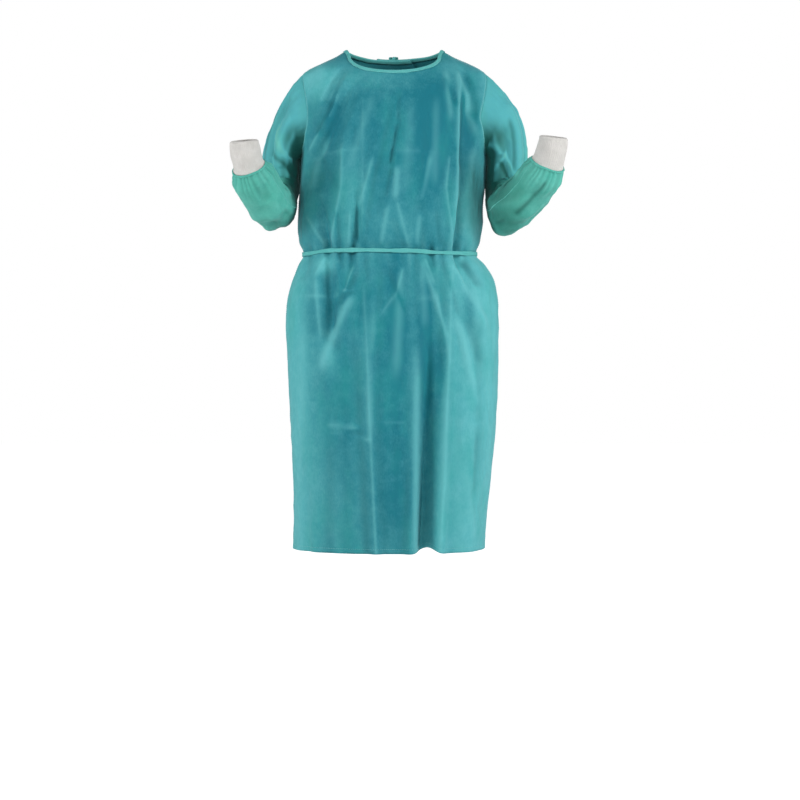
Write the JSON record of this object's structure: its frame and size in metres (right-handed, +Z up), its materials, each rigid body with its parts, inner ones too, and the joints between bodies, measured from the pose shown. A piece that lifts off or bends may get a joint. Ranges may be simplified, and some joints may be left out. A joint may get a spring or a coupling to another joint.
{
  "type": "isolation gown",
  "caption": "Worn isolation gown of non-woven cloth: straight body lapped and tied at the back, set-in sleeves with knitted cuffs, bound round neck and waist tie, forearms raised.",
  "frame": {"origin": "middle of the neck opening at the height of the shoulders' highest points, where a wearer carries the gown", "axes": "+Z up the wearer's spine, -Y the front of the gown, +X the wearer's left"},
  "size_m": [0.738, 0.4074, 1.1325],
  "materials": {
    "gown_cloth": "teal green non-woven cloth, matt with a faint sheen",
    "sleeve_cloth": "single layer of green non-woven cloth, matt",
    "tie_cloth": "folded strip of light green non-woven cloth, matt",
    "cuff_knit": "white rib knit, matt"
  },
  "bodies": {
    "root": {"front_panel": "gown_cloth", "back_panel_left": "gown_cloth", "back_panel_right": "gown_cloth", "sleeve_left": "sleeve_cloth", "sleeve_right": "sleeve_cloth", "cuff_left": "cuff_knit", "cuff_right": "cuff_knit", "neck_binding": "tie_cloth", "neck_tie": "tie_cloth", "belt": "tie_cloth", "waist_tie": "tie_cloth"}
  },
  "joints": []
}
